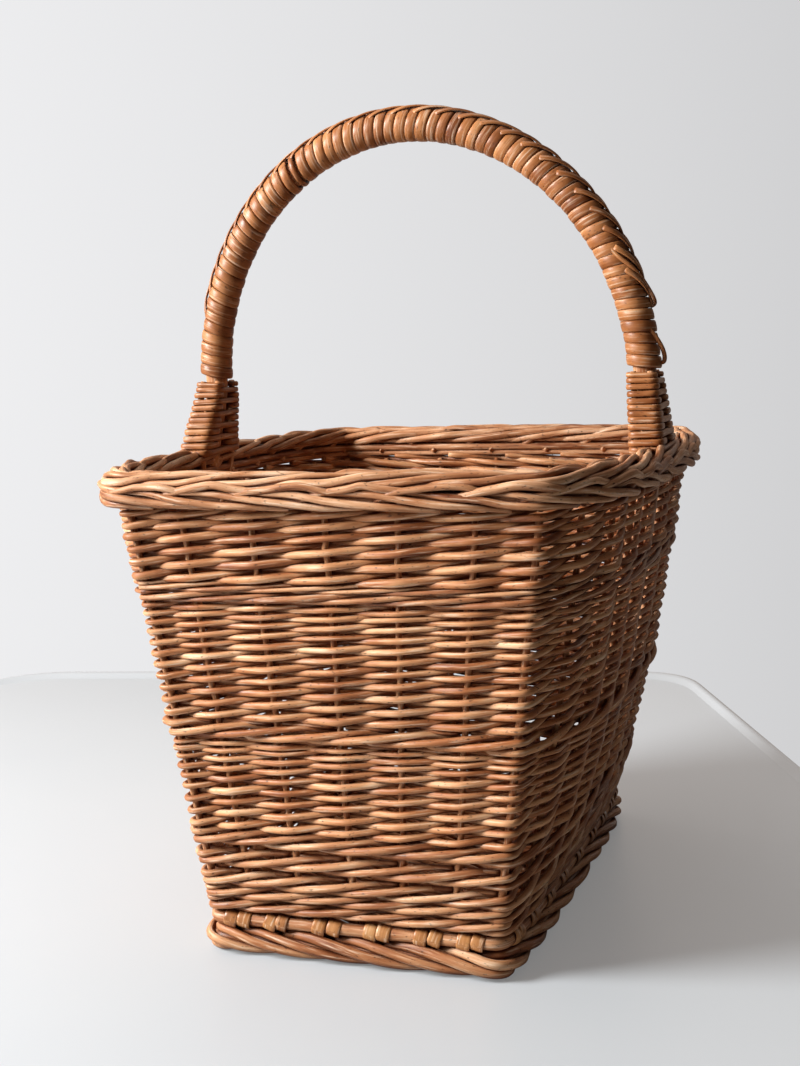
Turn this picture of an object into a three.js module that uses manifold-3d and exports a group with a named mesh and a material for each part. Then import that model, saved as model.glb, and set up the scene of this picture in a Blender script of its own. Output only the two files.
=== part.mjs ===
// Woven willow market basket with a wrapped bow handle.
// Millimetres, +Z up, origin at the bottom centre of the foot. The handle spans X; the long sides run along Y.
import * as THREE from "three";
import Module from "manifold-3d";

const wasm = await Module();
wasm.setup();

// Wall centreline: half sizes at the bottom and the top of the stakes' straight run
const BASE_Z = 22;
const BASE_X = 81;
const BASE_Y = 143.5;
const TOP_Z = 252;
const TOP_X = 113.8;
const TOP_Y = 163;
// The long sides bulge outwards between the corners, the short sides hardly at all
const BULGE_BASE = 5;
const BULGE_TOP = 28.6;
const BULGE_RISE = 3;
const BULGE_SQUARENESS = 4;
const END_BOW = 2;
const CORNER_R = 10;

// Heights of the wall's bands, bottom to top
const FOOT_TOP = 13.5;
const UPSETT_Z = [24, 70.2];
const LOWER_WEAVE_Z = [70.5, 122.3];
const LOWER_WALE_Z = [122.6, 135.2];
const MIDDLE_WEAVE_Z = [135.5, 200];
const UPPER_WALE_Z = [200.3, 211.4];
const UPPER_WEAVE_Z = [211.7, 250];
const WEAVE_HALF = 4.2;
const WALE_HALF = 4.9;

// Stakes
const STAKE_R = 1.6;
const CORNER_POST_R = 2.1;
const STAKE_BOTTOM = 5;
const STAKE_TOP = 256;
const STAKE_TUCK = -3;
const STAKE_TUCK_Z = 23;
const STAKE_FREE_Z = 34;
const END_STAKES = [-0.73, -0.375, 0, 0.35, 0.71];
const SIDE_STAKES = [-0.83, -0.62, -0.4, -0.16, 0.16, 0.4, 0.62, 0.83];

// Base stick, its cane lapping and the floor
const BASE_STICK_R = 3.4;
const BASE_STICK_OUT = 2.6;
const BASE_STICK_Z = 18.9;
const LAPPING_R = 4.5;
const LAPPING_OPEN = 2.1;
const FLOOR_Z = [16.5, 23];
const FLOOR_INSET = 5.6;
const FLOOR_STICK_R = 2;
const FLOOR_STICKS = [-60, -30, 0, 30, 60];

// Handle
const BOW_END_Z = 194;
const SHOULDER_X = 136.6;
const SHOULDER_Z = 310;
const BOW_TOP_Z = 462;
const BOW_LEAN = -4.6;
const LEFT_FLARE = 3.5;
const ARCH_STEPS = 24;
const BOW_R = 8.1;
const BOW_LEG_R = 6.6;
const BOW_SLYPE = [2.3, 5.6];
const WRAP_R = 9.7;
const WRAP_GAP = 0.45;
const WRAP_START_Z = 315.5;
const RIDGE_HALF = [0.8, 3.2];
const RIDGE_START_Z = 348;
const GUSSET_Z = [267, 314.5];
const GUSSET_HALF_X = [9.3, 8.6];
const GUSSET_HALF_Y = [23.5, 10.8];
const LINER_TOP_Z = 312.5;
const LINER_BOTTOM_Z = 230;

// Clearance left between neighbouring pieces
const GAP = 0.3;

const group = new THREE.Group();

function material(color) {
  return new THREE.MeshStandardMaterial({ color, roughness: 0.6 });
}

const WILLOW = material(0xb98a5c);
const WILLOW_DARK = material(0x9a6f48);
const STAKE_WOOD = material(0xc99d6b);
const CANE = material(0xc9873f);

// A closed surface from rows of equally many points, joined row to row; the rows close into a loop or end in caps.
function loftGeometry(rows, loop) {
  const n = rows[0].length;
  const positions = rows.flat(2);
  const index = [];
  const last = loop ? rows.length : rows.length - 1;
  for (let r = 0; r < last; r++) {
    for (let c = 0; c < n; c++) {
      const a = r * n + c;
      const b = r * n + ((c + 1) % n);
      const d = ((r + 1) % rows.length) * n + c;
      const e = ((r + 1) % rows.length) * n + ((c + 1) % n);
      index.push(a, b, e, a, e, d);
    }
  }
  if (!loop) {
    const top = (rows.length - 1) * n;
    for (let c = 1; c < n - 1; c++) {
      index.push(0, c + 1, c);
      index.push(top, top + c, top + c + 1);
    }
  }
  const geometry = new THREE.BufferGeometry();
  geometry.setAttribute("position", new THREE.Float32BufferAttribute(positions, 3));
  geometry.setIndex(index);
  return geometry;
}

function solid(geometry) {
  const mesh = new wasm.Mesh({
    numProp: 3,
    vertProperties: new Float32Array(geometry.getAttribute("position").array),
    triVerts: new Uint32Array(geometry.index.array),
  });
  return new wasm.Manifold(mesh);
}

function add(name, body, look) {
  const m = body.getMesh();
  const geometry = new THREE.BufferGeometry();
  geometry.setAttribute("position", new THREE.Float32BufferAttribute(m.vertProperties, 3));
  geometry.setIndex(Array.from(m.triVerts));
  geometry.computeVertexNormals();
  const mesh = new THREE.Mesh(geometry, look);
  mesh.name = name;
  group.add(mesh);
}

// Half sizes and bulge of the wall's centreline at height z
function wallSize(z) {
  const t = Math.max((z - BASE_Z) / (TOP_Z - BASE_Z), 0);
  const rise = 1 - Math.max(1 - t, 0) ** BULGE_RISE;
  return {
    x: BASE_X + (TOP_X - BASE_X) * t,
    y: BASE_Y + (TOP_Y - BASE_Y) * t,
    bulge: BULGE_BASE + (BULGE_TOP - BULGE_BASE) * rise,
    bow: END_BOW * t,
  };
}

// A point of the centreline with its outward normal. Sides: 0 front, 1 right, 2 back, 3 left; v runs -1 to 1.
function wallPoint(side, v, z) {
  const s = wallSize(z);
  const long = side % 2 === 1;
  const along = long ? s.y : s.x;
  const power = long ? BULGE_SQUARENESS : 2;
  const swell = long ? s.bulge : s.bow;
  const out = (long ? s.x : s.y) + swell * (1 - Math.abs(v) ** power);
  const slope = (-swell * power * Math.sign(v) * Math.abs(v) ** (power - 1)) / along;
  const length = Math.hypot(1, slope);
  const flip = side === 0 || side === 3 ? -1 : 1;
  if (long) return { x: flip * out, y: along * v, nx: flip / length, ny: -slope / length };
  return { x: along * v, y: flip * out, nx: -slope / length, ny: flip / length };
}

// The rounded corner after a side: an arc that joins the two sides' normals.
function cornerArc(side, z) {
  const sign = side === 0 || side === 1 ? 1 : -1;
  const nextSign = side === 0 || side === 3 ? -1 : 1;
  const a = wallPoint(side, sign, z);
  const b = wallPoint((side + 1) % 4, nextSign, z);
  const from = Math.atan2(a.ny, a.nx);
  const turn = (Math.atan2(b.ny, b.nx) - from + 2 * Math.PI) % (2 * Math.PI);
  const middle = from + turn / 2;
  const back = CORNER_R / Math.cos(turn / 2);
  const centre = { x: a.x - back * Math.cos(middle), y: a.y - back * Math.sin(middle) };
  return [0, 0.5, 1].map((k) => {
    const nx = Math.cos(from + turn * k);
    const ny = Math.sin(from + turn * k);
    return { x: centre.x + CORNER_R * nx, y: centre.y + CORNER_R * ny, nx, ny };
  });
}

// The whole centreline at height z, anticlockwise from the front-left corner
function wallLoop(z) {
  const points = [];
  for (let side = 0; side < 4; side++) {
    const forward = side === 0 || side === 1 ? 1 : -1;
    const steps = side % 2 === 1 ? [-0.84, -0.62, -0.36, 0, 0.36, 0.62, 0.84] : [-0.6, 0, 0.6];
    for (const v of steps) points.push(wallPoint(side, forward * v, z));
    points.push(...cornerArc(side, z));
  }
  return points;
}

// A ring whose section is a list of [outset, height] pairs. It has the wall's plan at each height, or at one level.
function ring(section, level) {
  const loops = section.map(([, z]) => wallLoop(level ?? z));
  const rows = loops[0].map((_, i) =>
    section.map(([out, z], k) => {
      const p = loops[k][i];
      return [p.x + out * p.nx, p.y + out * p.ny, z];
    }),
  );
  return solid(loftGeometry(rows.reverse(), true));
}

// How far a stake stands inside the wall's centreline where it passes the base stick
function stakeTuck(z) {
  const t = (z - STAKE_TUCK_Z) / (STAKE_FREE_Z - STAKE_TUCK_Z);
  return STAKE_TUCK * (1 - Math.min(Math.max(t, 0), 1));
}

function polygonAt(x, y, z, r, sides) {
  return Array.from({ length: sides }, (_, i) => {
    const a = ((i + 0.5) / sides) * 2 * Math.PI;
    return [x + r * Math.cos(a), y + r * Math.sin(a), z];
  });
}

// A stake at v along a side: hexagonal sections that follow the wall from the foot into the border
function stake(side, v, r, grow) {
  const corner = Math.abs(v) === 1;
  const curved = side % 2 === 1 && !corner;
  const heights = curved ? [STAKE_BOTTOM, STAKE_TUCK_Z, STAKE_FREE_Z, 70, 122, 160, 200, STAKE_TOP]
    : [STAKE_BOTTOM, STAKE_TUCK_Z, STAKE_FREE_Z, STAKE_TOP];
  const rows = heights.map((z, i) => {
    const end = i === 0 ? -grow : i === heights.length - 1 ? grow : 0;
    const p = corner ? cornerArc(side, z)[1] : wallPoint(side, v, z);
    const out = stakeTuck(z);
    return polygonAt(p.x + out * p.nx, p.y + out * p.ny, z + end, r + grow, 6);
  });
  return solid(loftGeometry(rows, false));
}

// The stakes: five at each end, eight on each long side and a thicker post at each corner
function stakeList() {
  const list = [];
  END_STAKES.forEach((v, i) => {
    list.push({ name: `stake_front_${i + 1}`, side: 0, v, r: STAKE_R });
    list.push({ name: `stake_back_${i + 1}`, side: 2, v, r: STAKE_R });
  });
  SIDE_STAKES.forEach((v, i) => {
    list.push({ name: `stake_right_${i + 1}`, side: 1, v, r: STAKE_R });
    list.push({ name: `stake_left_${i + 1}`, side: 3, v, r: STAKE_R });
  });
  ["front_right", "back_right", "back_left", "front_left"].forEach((name, side) => {
    list.push({ name: `corner_post_${name}`, side, v: 1, r: CORNER_POST_R });
  });
  return list;
}

// The bow's path in the XZ plane, from the right leg's buried end over the top to the left one
function bowPath(startZ) {
  const heights = [BOW_END_Z, 212, 232, 250, 260, 270, 287, 303].filter((z) => z >= startZ);
  const arch = [];
  for (let i = 0; i <= ARCH_STEPS; i++) {
    const a = (i / ARCH_STEPS) * Math.PI;
    if (archPoint(a)[1] > startZ) arch.push(archPoint(a));
  }
  if (startZ >= SHOULDER_Z) {
    const a = Math.asin((startZ - SHOULDER_Z) / (BOW_TOP_Z - SHOULDER_Z));
    return [archPoint(a), ...arch, archPoint(Math.PI - a)];
  }
  const right = heights.map((z) => [legX(1, z), z]);
  const left = heights.map((z) => [-legX(-1, z), z]).reverse();
  return [...right, ...arch, ...left];
}

function archPoint(a) {
  const x = SHOULDER_X * Math.cos(a) + BOW_LEAN * Math.sin(a);
  return [x, SHOULDER_Z + (BOW_TOP_Z - SHOULDER_Z) * Math.sin(a)];
}

// The leg follows the wall up to the border and then leans in to the shoulder; the left one first kicks outwards.
function legX(side, z) {
  const s = wallSize(Math.min(z, TOP_Z));
  const wall = s.x + s.bulge;
  const t = Math.max(z - TOP_Z, 0) / (SHOULDER_Z - TOP_Z);
  const flare = THREE.MathUtils.smoothstep(t, 0, 0.25) * (1 - THREE.MathUtils.smoothstep(t, 0.25, 1));
  return wall + (SHOULDER_X - wall) * t + (side < 0 ? LEFT_FLARE * flare : 0);
}

// Sweeps an ellipse or box along a path in the XZ plane; half(z) gives its half sizes across and along Y.
function sweepXZ(path, half, sides, outset) {
  const rows = path.map(([x, z], i) => {
    const [ax, az] = path[Math.max(i - 1, 0)];
    const [bx, bz] = path[Math.min(i + 1, path.length - 1)];
    const length = Math.hypot(bx - ax, bz - az);
    const nx = (bz - az) / length;
    const nz = -(bx - ax) / length;
    const [h, w] = half(z);
    return Array.from({ length: sides }, (_, k) => {
      const a = ((k + 0.5) / sides) * 2 * Math.PI;
      const across = outset + h * Math.cos(a);
      return [x + across * nx, w * Math.sin(a), z + across * nz];
    });
  });
  return solid(loftGeometry(rows, false));
}

// The bow's half sizes: round in the arch, slimmer in the legs and cut to a flat tongue inside the wall
function bowHalf(z) {
  const spread = THREE.MathUtils.smoothstep(z, 250, 267);
  const swell = THREE.MathUtils.smoothstep(z, 308, 334);
  const round = BOW_LEG_R + (BOW_R - BOW_LEG_R) * swell;
  return BOW_SLYPE.map((s) => s + (round - s) * spread);
}

function bow(grow) {
  const half = (z) => bowHalf(z).map((h) => h + grow);
  return sweepXZ(bowPath(BOW_END_Z), half, 12, 0);
}

function handleWrap() {
  const outer = sweepXZ(bowPath(WRAP_START_Z), () => [WRAP_R, WRAP_R], 12, 0);
  const inner = sweepXZ(bowPath(WRAP_START_Z - 3), () => [BOW_R + WRAP_GAP, BOW_R + WRAP_GAP], 12, 0);
  return outer.subtract(inner);
}

function handleRidge() {
  const half = () => RIDGE_HALF.map((h) => h * Math.SQRT2);
  return sweepXZ(bowPath(RIDGE_START_Z), half, 4, WRAP_R + GAP + RIDGE_HALF[0]);
}

// The woven foot of one leg: a tapering block, open for the bow and the liners that run through it
function gussetBlock(side, grow) {
  const rows = GUSSET_Z.map((z, i) => {
    const hx = GUSSET_HALF_X[i] + grow;
    const hy = GUSSET_HALF_Y[i] + grow;
    const x = side * legX(side, z);
    const level = i === 0 ? z - grow : z;
    const corner = 4;
    return [
      [x + hx, -hy + corner, level], [x + hx, hy - corner, level],
      [x + hx - corner, hy, level], [x - hx + corner, hy, level],
      [x - hx, hy - corner, level], [x - hx, -hy + corner, level],
      [x - hx + corner, -hy, level], [x + hx - corner, -hy, level],
    ];
  });
  return solid(loftGeometry(rows, false));
}

// A liner leans away from the bow down to the border and then runs straight down inside the wall.
function liner(side, end, grow) {
  const stops = [
    { z: LINER_BOTTOM_Z, y: 18.5, r: 1.5 },
    { z: 250, y: 18.5, r: 1.7 },
    { z: 267, y: 18.8, r: 2.3 },
    { z: LINER_TOP_Z, y: 8.2, r: 1 },
  ];
  const rows = stops.map(({ z, y, r }, i) => {
    const lift = i === 0 ? -grow : i === stops.length - 1 ? grow : 0;
    return polygonAt(side * legX(side, z), end * y, z + lift, r + grow, 6);
  });
  return solid(loftGeometry(rows, false));
}

// Cane lapping round the outside of the base stick, open towards the stakes
function lappingSection() {
  const angles = Array.from({ length: 7 }, (_, i) => LAPPING_OPEN * (i / 3 - 1));
  const at = (r) => (a) => [BASE_STICK_OUT + r * Math.cos(a), BASE_STICK_Z + r * Math.sin(a)];
  return [...angles.map(at(LAPPING_R)), ...angles.reverse().map(at(BASE_STICK_R + GAP))];
}

function circleSection(out, z, r, sides) {
  return Array.from({ length: sides }, (_, i) => {
    const a = ((i + 0.5) / sides) * 2 * Math.PI;
    return [out + r * Math.cos(a), z + r * Math.sin(a)];
  });
}

function bandSection([low, high], half) {
  return [[half, low], [half, high], [-half, high], [-half, low]];
}

// Floor: a flat woven panel inside the stakes, with the sticks it is woven on running through it
function floorPanel() {
  const outline = (z) => wallLoop(BASE_Z).map((p) => [p.x - FLOOR_INSET * p.nx, p.y - FLOOR_INSET * p.ny, z]);
  return solid(loftGeometry(FLOOR_Z.map(outline), false));
}

function floorStick(x, grow) {
  const z = (FLOOR_Z[0] + FLOOR_Z[1]) / 2;
  const reach = BASE_Y - FLOOR_INSET + 0.2 + grow;
  const rows = [reach, -reach].map((y) =>
    Array.from({ length: 8 }, (_, i) => {
      const a = ((i + 0.5) / 8) * 2 * Math.PI;
      return [x + (FLOOR_STICK_R + grow) * Math.cos(a), y, z + (FLOOR_STICK_R + grow) * Math.sin(a)];
    }),
  );
  return solid(loftGeometry(rows, false));
}

const FOOT_SECTION = [
  [-1, 0], [5.5, 0], [9, 3], [9.5, 7.5], [6.5, 12], [2, FOOT_TOP], [-3, 12.5], [-5.5, 8], [-4.5, 3],
];
const BORDER_SECTION = [
  [-5, 251.8], [5, 250.4], [11, 252.2], [13.5, 257.5], [11.5, 264.5], [6, 269.5], [-1, 271.5], [-7, 269], [-9.5, 262.5],
  [-8.5, 255.8],
];

const stakes = stakeList();
const stakeClearance = wasm.Manifold.union(stakes.map((s) => stake(s.side, s.v, s.r, GAP)));
const legEnds = [];
for (const side of [1, -1]) {
  for (const end of [-1, 1]) legEnds.push({ side, end });
}
const handleClearance = wasm.Manifold.union([
  bow(GAP),
  ...legEnds.map(({ side, end }) => liner(side, end, GAP)),
]);

function band(name, heights, half, look) {
  add(name, ring(bandSection(heights, half)).subtract(stakeClearance).subtract(handleClearance), look);
}

add("foot_border", ring(FOOT_SECTION, BASE_Z).subtract(stakeClearance), WILLOW_DARK);
add("base_stick", ring(circleSection(BASE_STICK_OUT, BASE_STICK_Z, BASE_STICK_R, 8), BASE_STICK_Z), WILLOW_DARK);
add("cane_lapping", ring(lappingSection(), BASE_STICK_Z), CANE);
const floorClearance = wasm.Manifold.union(FLOOR_STICKS.map((x) => floorStick(x, GAP)));
add("floor_weave", floorPanel().subtract(floorClearance), WILLOW);
FLOOR_STICKS.forEach((x, i) => add(`floor_stick_${i + 1}`, floorStick(x, 0), STAKE_WOOD));
band("upsett_wale", UPSETT_Z, WALE_HALF, WILLOW);
band("lower_weave", LOWER_WEAVE_Z, WEAVE_HALF, WILLOW);
band("lower_wale", LOWER_WALE_Z, WALE_HALF, WILLOW_DARK);
band("middle_weave", MIDDLE_WEAVE_Z, WEAVE_HALF, WILLOW);
band("upper_wale", UPPER_WALE_Z, WALE_HALF, WILLOW_DARK);
band("upper_weave", UPPER_WEAVE_Z, WEAVE_HALF, WILLOW);
const seats = wasm.Manifold.union([gussetBlock(1, GAP), gussetBlock(-1, GAP)]);
const border = ring(BORDER_SECTION).subtract(stakeClearance).subtract(handleClearance).subtract(seats);
add("rim_border", border, WILLOW);
for (const s of stakes) add(s.name, stake(s.side, s.v, s.r, 0), STAKE_WOOD);
add("handle_bow", bow(0), STAKE_WOOD);
add("handle_wrap", handleWrap(), CANE);
add("handle_ridge", handleRidge(), CANE);
add("gusset_right", gussetBlock(1, 0).subtract(handleClearance), WILLOW);
add("gusset_left", gussetBlock(-1, 0).subtract(handleClearance), WILLOW);
for (const { side, end } of legEnds) {
  const name = `liner_${side > 0 ? "right" : "left"}_${end < 0 ? "front" : "back"}`;
  add(name, liner(side, end, 0), STAKE_WOOD);
}

export default group;
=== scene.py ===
"""Looks of the woven willow market basket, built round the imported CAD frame.

Every rod, strand and strip is swept in millimetres along a path that follows the basket's wall, in the same
frame as the CAD part, and scaled to metres when its mesh is made.
"""
import math

import bpy
import numpy as np
from mathutils import Matrix, Vector


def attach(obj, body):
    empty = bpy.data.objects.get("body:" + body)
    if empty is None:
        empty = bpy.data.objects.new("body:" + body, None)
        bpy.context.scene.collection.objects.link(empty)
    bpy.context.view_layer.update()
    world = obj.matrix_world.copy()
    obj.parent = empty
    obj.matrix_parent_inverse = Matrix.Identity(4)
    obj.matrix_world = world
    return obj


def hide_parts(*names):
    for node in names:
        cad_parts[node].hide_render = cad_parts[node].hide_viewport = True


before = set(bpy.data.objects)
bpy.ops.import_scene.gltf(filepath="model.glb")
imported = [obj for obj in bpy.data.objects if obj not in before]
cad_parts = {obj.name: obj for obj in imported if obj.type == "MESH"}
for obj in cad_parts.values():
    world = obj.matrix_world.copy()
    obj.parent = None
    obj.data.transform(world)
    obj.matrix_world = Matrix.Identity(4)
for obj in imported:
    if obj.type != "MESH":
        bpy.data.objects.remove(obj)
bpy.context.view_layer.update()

MM = 0.001
rng = np.random.default_rng(7)

# -------- the wall, as in the CAD part
BASE_Z = 22
BASE_X, BASE_Y = 81, 143.5
TOP_Z = 252
TOP_X, TOP_Y = 113.8, 163
BULGE_BASE, BULGE_TOP, BULGE_RISE, BULGE_SQUARENESS = 5, 28.6, 3, 4
END_BOW = 2
END_STAKES = [-0.73, -0.375, 0, 0.35, 0.71]
SIDE_STAKES = [-0.83, -0.62, -0.4, -0.16, 0.16, 0.4, 0.62, 0.83]
STAKES = 30
# The stake numbers of the corner posts, anticlockwise from the front left seen from above
CORNERS = (0, 6, 15, 21)
FRONT_RIGHT, BACK_RIGHT = CORNERS[1:3]
STAKE_R, POST_R = 1.9, 2.2  # the room that the weave leaves for an upright

# The plan of the wall is sampled once
PLAN_STEP_Z = 4.0
PLAN_TOP_Z = 284
PLAN_PER_STAKE = 32
SHARP_CORNER, SOFT_CORNER = 0.5, 4.0  # half width of the two running means that round the corners, in mm
LINE_STEP = 0.5


def raw_plan(side, v, z):
    """Points of the wall's centreline before its corners are rounded."""
    t = np.maximum((z - BASE_Z) / (TOP_Z - BASE_Z), 0)
    rise = 1 - np.maximum(1 - t, 0) ** BULGE_RISE
    half_x = BASE_X + (TOP_X - BASE_X) * t
    half_y = BASE_Y + (TOP_Y - BASE_Y) * t
    bulge = BULGE_BASE + (BULGE_TOP - BULGE_BASE) * rise
    bow = END_BOW * t
    long = side % 2 == 1
    flip = np.where((side == 0) | (side == 3), -1.0, 1.0)
    x = np.where(long, flip * (half_x + bulge * (1 - np.abs(v) ** BULGE_SQUARENESS)), half_x * v)
    y = np.where(long, half_y * v, flip * (half_y + bow * (1 - v ** 2)))
    return np.stack([x, y], -1)


def stake_places():
    """Each stake gap's side of the basket, and the places v along it where the gap starts and ends."""
    runs = ([-1] + END_STAKES + [1], [-1] + SIDE_STAKES + [1],
            [1] + END_STAKES[::-1] + [-1], [1] + SIDE_STAKES[::-1] + [-1])
    return [(side, a, b) for side, run in enumerate(runs) for a, b in zip(run, run[1:])]


def running_mean(line, half):
    """A closed line averaged over a window of 2 half + 1 points."""
    total = sum(np.roll(line, k, axis=0) for k in range(-half, half + 1))
    return total / (2 * half + 1)


def build_plan(corner):
    """Positions and outward normals of the wall's plan, by height and by stake number."""
    gaps = stake_places()
    steps = np.arange(PLAN_PER_STAKE) / PLAN_PER_STAKE
    side = np.repeat([g[0] for g in gaps], PLAN_PER_STAKE)
    v = np.concatenate([g[1] + (g[2] - g[1]) * steps for g in gaps])
    levels = np.arange(0, PLAN_TOP_Z + 1, PLAN_STEP_Z)
    places, normals = [], []
    for z in levels:
        line = raw_plan(side, v, z)
        length = np.concatenate([[0], np.cumsum(np.linalg.norm(np.roll(line, -1, 0) - line, axis=1))])
        closed = np.vstack([line, line[:1]])
        count = int(length[-1] / LINE_STEP)
        fine = np.linspace(0, length[-1], count, endpoint=False)
        even = np.stack([np.interp(fine, length, closed[:, k]) for k in range(2)], -1)
        for _ in range(2):
            even = running_mean(even, int(corner / LINE_STEP))
        ahead = np.roll(even, -2, 0) - np.roll(even, 2, 0)
        outward = np.stack([ahead[:, 1], -ahead[:, 0]], -1) / np.linalg.norm(ahead, axis=1)[:, None]
        wrap = np.append(fine, length[-1])
        for source, store in ((even, places), (outward, normals)):
            whole = np.vstack([source, source[:1]])
            store.append(np.stack([np.interp(length[:-1], wrap, whole[:, k]) for k in range(2)], -1))
    return np.array(places), np.array(normals)


WEAVE_PLAN = build_plan(SHARP_CORNER)
BORDER_PLAN = build_plan(SOFT_CORNER)


def plan_at(table, u, z):
    """A sampled table of the plan, read between its samples at stake number u and height z."""
    count = STAKES * PLAN_PER_STAKE
    a = (np.asarray(u, float) % STAKES) * PLAN_PER_STAKE
    i = np.floor(a).astype(int) % count
    j = (i + 1) % count
    fa = (a - np.floor(a))[..., None]
    b = np.clip(np.asarray(z, float) / PLAN_STEP_Z, 0, len(table) - 1.001)
    k = np.floor(b).astype(int)
    fb = (b - k)[..., None]
    low = table[k, i] * (1 - fa) + table[k, j] * fa
    high = table[k + 1, i] * (1 - fa) + table[k + 1, j] * fa
    return low * (1 - fb) + high * fb


def wall(u, z, out, plan=BORDER_PLAN):
    """The point at stake number u and height z, out millimetres outside the wall's centreline."""
    u, z, out = np.broadcast_arrays(np.asarray(u, float), np.asarray(z, float), np.asarray(out, float))
    level = np.maximum(z, BASE_Z)
    place = plan_at(plan[0], u, level)
    normal = plan_at(plan[1], u, level)
    normal = normal / np.linalg.norm(normal, axis=-1, keepdims=True)
    flat = place + normal * out[..., None]
    return np.concatenate([flat, z[..., None]], -1)


def gather(u):
    """Moves sample places towards the corner posts, where the rods bend most."""
    stake = np.floor(u)
    f = u - stake
    f = np.where(np.isin(stake % STAKES, CORNERS), f ** 1.5, f)
    f = np.where(np.isin((stake + 1) % STAKES, CORNERS), 1 - (1 - f) ** 1.5, f)
    return stake + f


def far_side(u):
    """1 along the back end and the left side, 0 elsewhere, with short ramps at the two corners between."""
    place = np.asarray(u, float) % STAKES
    return np.clip(place - BACK_RIGHT, 0, 1) * np.clip((29.8 - place) / 1.2, 0, 1)


def post_radius(u):
    """The radius of the upright next to stake number u."""
    near = np.round(np.asarray(u, float)) % STAKES
    return np.where(np.isin(near, CORNERS), POST_R, STAKE_R)


# -------- sweeping rods into meshes
def unit(a):
    """Vectors scaled to length 1."""
    return a / np.maximum(np.linalg.norm(a, axis=-1, keepdims=True), 1e-9)


def smooth_path(points, per_segment):
    """A Catmull-Rom curve through the points."""
    p = np.asarray(points, float)
    ends = np.vstack([2 * p[0] - p[1], p, 2 * p[-1] - p[-2]])
    t = (np.arange(per_segment) / per_segment)[:, None]
    rows = []
    for a, b, c, d in zip(ends, ends[1:], ends[2:], ends[3:]):
        rows.append(0.5 * (2 * b + (c - a) * t + (2 * a - 5 * b + 4 * c - d) * t ** 2
                           + (3 * b - a - 3 * c + d) * t ** 3))
    return np.vstack(rows + [p[-1:]])


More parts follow.
